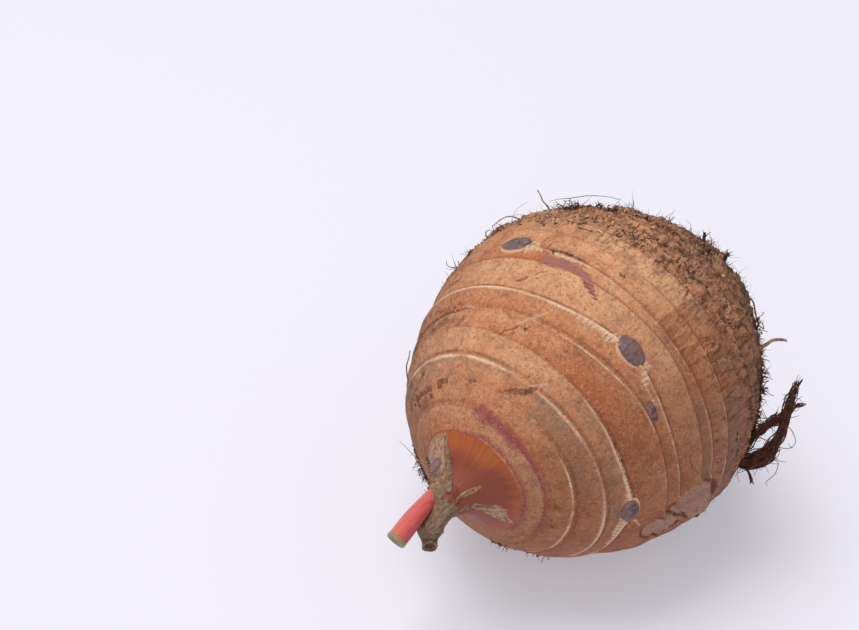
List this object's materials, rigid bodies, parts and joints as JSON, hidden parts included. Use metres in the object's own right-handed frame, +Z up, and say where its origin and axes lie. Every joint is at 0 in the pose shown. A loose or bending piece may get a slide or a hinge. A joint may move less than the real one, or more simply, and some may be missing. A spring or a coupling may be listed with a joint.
{
  "type": "taro root",
  "caption": "Ringed taro corm lying on its side, with leaf scars, buds, an orange cone, a broken sheath stub, a cut stalk stub and a torn root tuft.",
  "frame": {"origin": "on the surface that the corm lies on, under the middle of its bounding box", "axes": "+Z up, -Y towards the leaf end with its stubs, +X towards the root tuft"},
  "size_m": [0.1009, 0.1333, 0.0947],
  "materials": {
    "bark": "dry fibrous orange-brown bark with pale leaf scars",
    "dry_sheath": "dry woody grey-brown old leaf sheath",
    "fresh_stalk": "smooth waxy pink young leaf stalk with a green-brown cut end",
    "dead_roots": "dry dark red-brown torn root fibres"
  },
  "bodies": {
    "root": {"corm": "bark", "sheath_stub": "dry_sheath", "stalk_stub": "fresh_stalk", "root_tuft": "dead_roots"}
  },
  "joints": []
}
